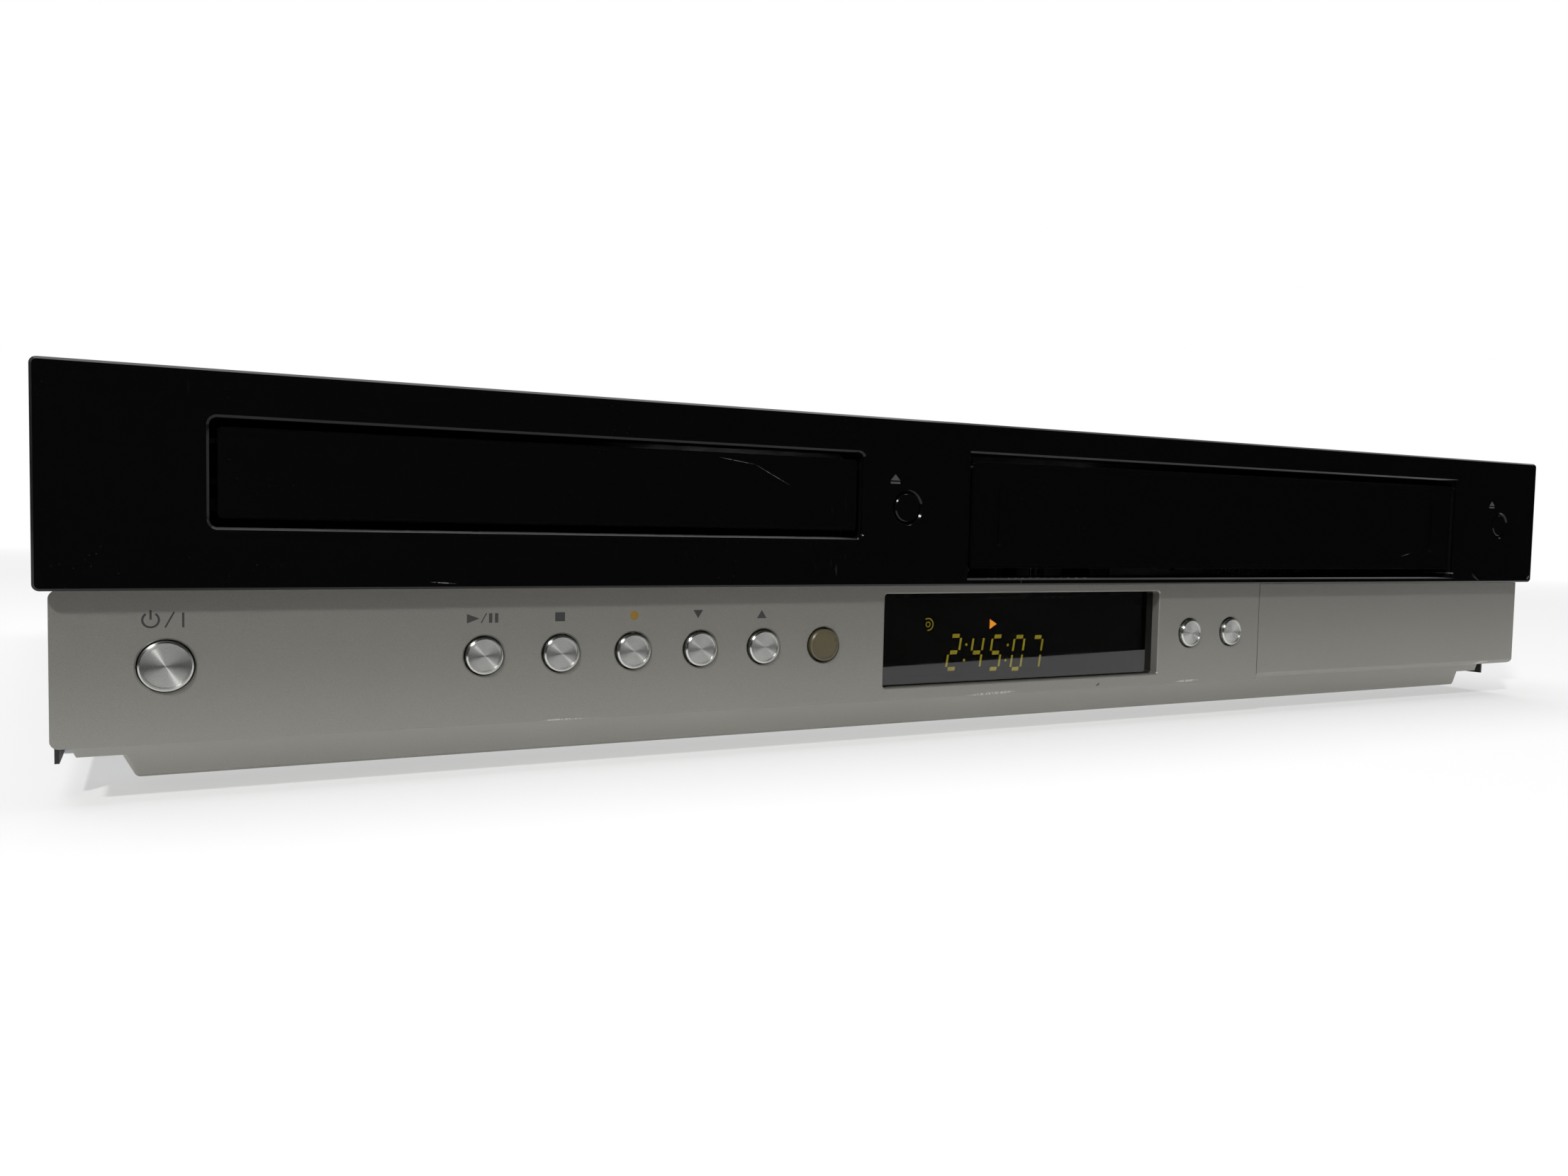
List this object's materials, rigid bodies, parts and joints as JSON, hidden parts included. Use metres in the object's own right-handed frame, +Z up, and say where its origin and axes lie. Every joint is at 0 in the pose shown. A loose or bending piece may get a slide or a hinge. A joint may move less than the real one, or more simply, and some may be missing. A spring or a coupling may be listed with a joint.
{
  "type": "disc and cassette player",
  "caption": "Low wide disc and video cassette player: gloss black upper front with tray and flap, silver lower front with round buttons, display and flip-down door.",
  "frame": {"origin": "on the standing surface, under the middle of the case's bounding box", "axes": "+X to the right seen from the front, the front faces -Y, +Z up"},
  "size_m": [0.43, 0.354, 0.0785],
  "materials": {
    "gloss_black": "high gloss black",
    "silver_paint": "metallic silver paint",
    "spun_metal": "spun aluminium",
    "amber_plastic": "smoky amber",
    "dark_lens": "smoked lens",
    "display_glass": "dark vacuum display",
    "black_steel": "fine textured black paint",
    "zinc_steel": "zinc plated sheet",
    "bright_steel": "bright turned steel",
    "cast_alloy": "machined alloy",
    "black_plastic": "moulded black",
    "white_plastic": "natural acetal",
    "rubber": "soft black rubber",
    "plated_steel": "yellow plated",
    "green_board": "solder resist"
  },
  "bodies": {
    "case": {"front_fascia": "gloss_black", "lower_fascia": "silver_paint", "base_skirt": "silver_paint", "display_lens": "dark_lens", "display_tube": "display_glass", "key_board": "green_board", "eject_boards": "green_board", "top_cover": "black_steel", "bottom_pan": "zinc_steel", "feet": "black_plastic", "foot_pads": "rubber", "rear_panel": "zinc_steel", "rear_sockets": "black_plastic", "aerial_sockets": "zinc_steel", "mains_inlet": "black_plastic", "case_screws": "bright_steel", "main_board": "green_board", "power_board": "green_board", "drive_frame": "black_plastic", "tray_motor": "bright_steel", "clamp_bridge": "zinc_steel", "front_sockets": "black_plastic", "deck_chassis": "zinc_steel", "lower_drum": "cast_alloy", "tape_heads": "black_plastic", "loading_motor": "bright_steel"},
    "tray": {"disc_tray": "black_plastic", "tray_front_panel": "gloss_black"},
    "tray_gear": {"tray_gear": "white_plastic"},
    "lift": {"lift_frame": "zinc_steel", "guide_rods": "bright_steel", "spindle_motor": "cast_alloy"},
    "turntable": {"turntable": "black_plastic"},
    "pickup": {"optical_pickup": "black_plastic"},
    "lead_screw": {"lead_screw": "bright_steel"},
    "disc_clamp": {"disc_clamp": "black_plastic"},
    "flap": {"cassette_flap": "gloss_black"},
    "slider": {"loading_slider": "zinc_steel"},
    "holder": {"cassette_holder": "zinc_steel"},
    "loading_gear": {"loading_gear": "white_plastic"},
    "supply_reel": {"supply_reel": "black_plastic"},
    "take_up_reel": {"take_up_reel": "black_plastic"},
    "head_drum": {"head_drum": "cast_alloy"},
    "capstan": {"capstan": "bright_steel"},
    "pinch_arm": {"pinch_arm": "plated_steel"},
    "pinch_roller": {"pinch_roller": "rubber"},
    "supply_guide": {"supply_guide": "bright_steel"},
    "take_up_guide": {"take_up_guide": "bright_steel"},
    "door": {"socket_door": "silver_paint"},
    "power_button": {"power_button": "spun_metal"},
    "play_button": {"play_button": "spun_metal"},
    "stop_button": {"stop_button": "spun_metal"},
    "record_button": {"record_button": "spun_metal"},
    "down_button": {"down_button": "spun_metal"},
    "up_button": {"up_button": "spun_metal"},
    "dubbing_button": {"dubbing_button": "amber_plastic"},
    "source_button": {"source_button": "spun_metal"},
    "mode_button": {"mode_button": "spun_metal"},
    "disc_eject_button": {"disc_eject_button": "gloss_black"},
    "tape_eject_button": {"tape_eject_button": "gloss_black"}
  },
  "joints": [
    {"name": "tray_slide", "type": "slide", "parent": "case", "child": "tray", "axis": [0, -1, 0], "range_m": [0, 0.135]},
    {"name": "tray_gear_spin", "type": "hinge", "parent": "case", "child": "tray_gear", "pos_m": [-0.16495, -0.15, 0.052], "axis": [0, 0, 1], "range_deg": [0, 880]},
    {"name": "lift_tilt", "type": "hinge", "parent": "case", "child": "lift", "pos_m": [-0.11895, -0.001, 0.045], "axis": [-1, 0, 0], "range_deg": [0, 4]},
    {"name": "turntable_spin", "type": "hinge", "parent": "lift", "child": "turntable", "pos_m": [-0.11895, -0.10366, 0.05085], "axis": [0, -0.0698, 0.9976], "continuous": true},
    {"name": "pickup_slide", "type": "slide", "parent": "lift", "child": "pickup", "axis": [0, 0.9976, 0.0698], "range_m": [0, 0.034]},
    {"name": "lead_screw_spin", "type": "hinge", "parent": "lift", "child": "lead_screw", "pos_m": [-0.15145, -0.07709, 0.04369], "axis": [0, 0.9976, 0.0698], "range_deg": [0, 4100]},
    {"name": "clamp_spin", "type": "hinge", "parent": "case", "child": "disc_clamp", "pos_m": [-0.11895, -0.103, 0.066], "axis": [0, 0, 1], "continuous": true},
    {"name": "flap_swing", "type": "hinge", "parent": "case", "child": "flap", "pos_m": [0.0766, -0.1749, 0.0684], "axis": [1, 0, 0], "range_deg": [0, 88], "stiffness_Nm_per_rad": 0.0025, "springref_deg": -14.32},
    {"name": "loading_slide", "type": "slide", "parent": "case", "child": "slider", "axis": [0, 1, 0], "range_m": [0, 0.062]},
    {"name": "holder_drop", "type": "slide", "parent": "slider", "child": "holder", "axis": [0, 0, -1], "range_m": [0, 0.0205]},
    {"name": "loading_gear_spin", "type": "hinge", "parent": "case", "child": "loading_gear", "pos_m": [0.1733, -0.086, 0.0298], "axis": [1, 0, 0], "range_deg": [-405, 0]},
    {"name": "supply_reel_spin", "type": "hinge", "parent": "case", "child": "supply_reel", "pos_m": [0.03, -0.092, 0.02], "axis": [0, 0, 1], "continuous": true},
    {"name": "take_up_reel_spin", "type": "hinge", "parent": "case", "child": "take_up_reel", "pos_m": [0.1232, -0.092, 0.02], "axis": [0, 0, 1], "continuous": true},
    {"name": "drum_spin", "type": "hinge", "parent": "case", "child": "head_drum", "pos_m": [0.0766, 0.013, 0.022], "axis": [0.1045, 0, 0.9945], "continuous": true},
    {"name": "capstan_spin", "type": "hinge", "parent": "case", "child": "capstan", "pos_m": [0.1266, -0.025, 0.02], "axis": [0, 0, 1], "continuous": true},
    {"name": "pinch_swing", "type": "hinge", "parent": "case", "child": "pinch_arm", "pos_m": [0.1506, -0.005, 0.022], "axis": [0, 0, -1], "range_deg": [0, 24]},
    {"name": "pinch_roller_spin", "type": "hinge", "parent": "pinch_arm", "child": "pinch_roller", "pos_m": [0.14455, -0.02989, 0.03], "axis": [0, 0, 1], "continuous": true},
    {"name": "supply_guide_slide", "type": "slide", "parent": "case", "child": "supply_guide", "axis": [-0.1055, 0.9944, 0], "range_m": [0, 0.06637]},
    {"name": "take_up_guide_slide", "type": "slide", "parent": "case", "child": "take_up_guide", "axis": [0.1055, 0.9944, 0], "range_m": [0, 0.06637]},
    {"name": "door_swing", "type": "hinge", "parent": "case", "child": "door", "pos_m": [0.15, -0.168, 0.01362], "axis": [1, 0, 0], "range_deg": [0, 90]},
    {"name": "power_button_press", "type": "slide", "parent": "case", "child": "power_button", "axis": [0, 1, 0], "range_m": [0, 0.0008], "stiffness_N_per_m": 600, "springref_m": -0.0006},
    {"name": "play_button_press", "type": "slide", "parent": "case", "child": "play_button", "axis": [0, 1, 0], "range_m": [0, 0.0008], "stiffness_N_per_m": 600, "springref_m": -0.0006},
    {"name": "stop_button_press", "type": "slide", "parent": "case", "child": "stop_button", "axis": [0, 1, 0], "range_m": [0, 0.0008], "stiffness_N_per_m": 600, "springref_m": -0.0006},
    {"name": "record_button_press", "type": "slide", "parent": "case", "child": "record_button", "axis": [0, 1, 0], "range_m": [0, 0.0008], "stiffness_N_per_m": 600, "springref_m": -0.0006},
    {"name": "down_button_press", "type": "slide", "parent": "case", "child": "down_button", "axis": [0, 1, 0], "range_m": [0, 0.0008], "stiffness_N_per_m": 600, "springref_m": -0.0006},
    {"name": "up_button_press", "type": "slide", "parent": "case", "child": "up_button", "axis": [0, 1, 0], "range_m": [0, 0.0008], "stiffness_N_per_m": 600, "springref_m": -0.0006},
    {"name": "dubbing_button_press", "type": "slide", "parent": "case", "child": "dubbing_button", "axis": [0, 1, 0], "range_m": [0, 0.0008], "stiffness_N_per_m": 600, "springref_m": -0.0006},
    {"name": "source_button_press", "type": "slide", "parent": "case", "child": "source_button", "axis": [0, 1, 0], "range_m": [0, 0.0008], "stiffness_N_per_m": 600, "springref_m": -0.0006},
    {"name": "mode_button_press", "type": "slide", "parent": "case", "child": "mode_button", "axis": [0, 1, 0], "range_m": [0, 0.0008], "stiffness_N_per_m": 600, "springref_m": -0.0006},
    {"name": "disc_eject_button_press", "type": "slide", "parent": "case", "child": "disc_eject_button", "axis": [0, 1, 0], "range_m": [0, 0.0008], "stiffness_N_per_m": 600, "springref_m": -0.0006},
    {"name": "tape_eject_button_press", "type": "slide", "parent": "case", "child": "tape_eject_button", "axis": [0, 1, 0], "range_m": [0, 0.0008], "stiffness_N_per_m": 600, "springref_m": -0.0006}
  ],
  "couplings": [
    {"joint": "tray_gear_spin", "follows": "tray_slide", "rad_per_m": 111.11},
    {"joint": "lead_screw_spin", "follows": "pickup_slide", "rad_per_m": 2094.4},
    {"joint": "holder_drop", "follows": "loading_slide", "ratio": 0.33065},
    {"joint": "loading_gear_spin", "follows": "loading_slide", "rad_per_m": -111.11},
    {"joint": "take_up_guide_slide", "follows": "supply_guide_slide", "ratio": 1}
  ]
}
